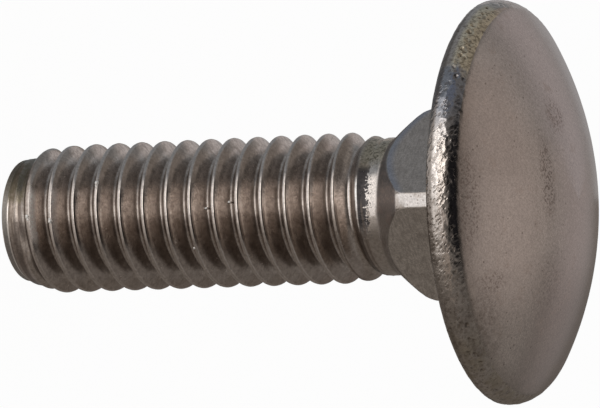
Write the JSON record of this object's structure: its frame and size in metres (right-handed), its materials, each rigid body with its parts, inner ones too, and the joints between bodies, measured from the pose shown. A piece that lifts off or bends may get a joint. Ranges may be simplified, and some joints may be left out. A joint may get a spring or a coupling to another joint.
{
  "type": "carriage bolt",
  "caption": "Carriage bolt with a low domed head, a square neck that keeps it from turning in its hole, a short plain shank and a rolled coarse thread.",
  "frame": {"origin": "centre of the bearing face, the flat underside of the head", "axes": "+Z along the bolt's axis, from the tip to the head's dome; X and Y square to the flats of the neck"},
  "size_m": [0.0154, 0.0154, 0.0233],
  "materials": {
    "stainless_steel": "cold headed and thread rolled stainless steel, satin, with fine pits round the rim"
  },
  "bodies": {
    "root": {"carriage_bolt": "stainless_steel"}
  },
  "joints": []
}
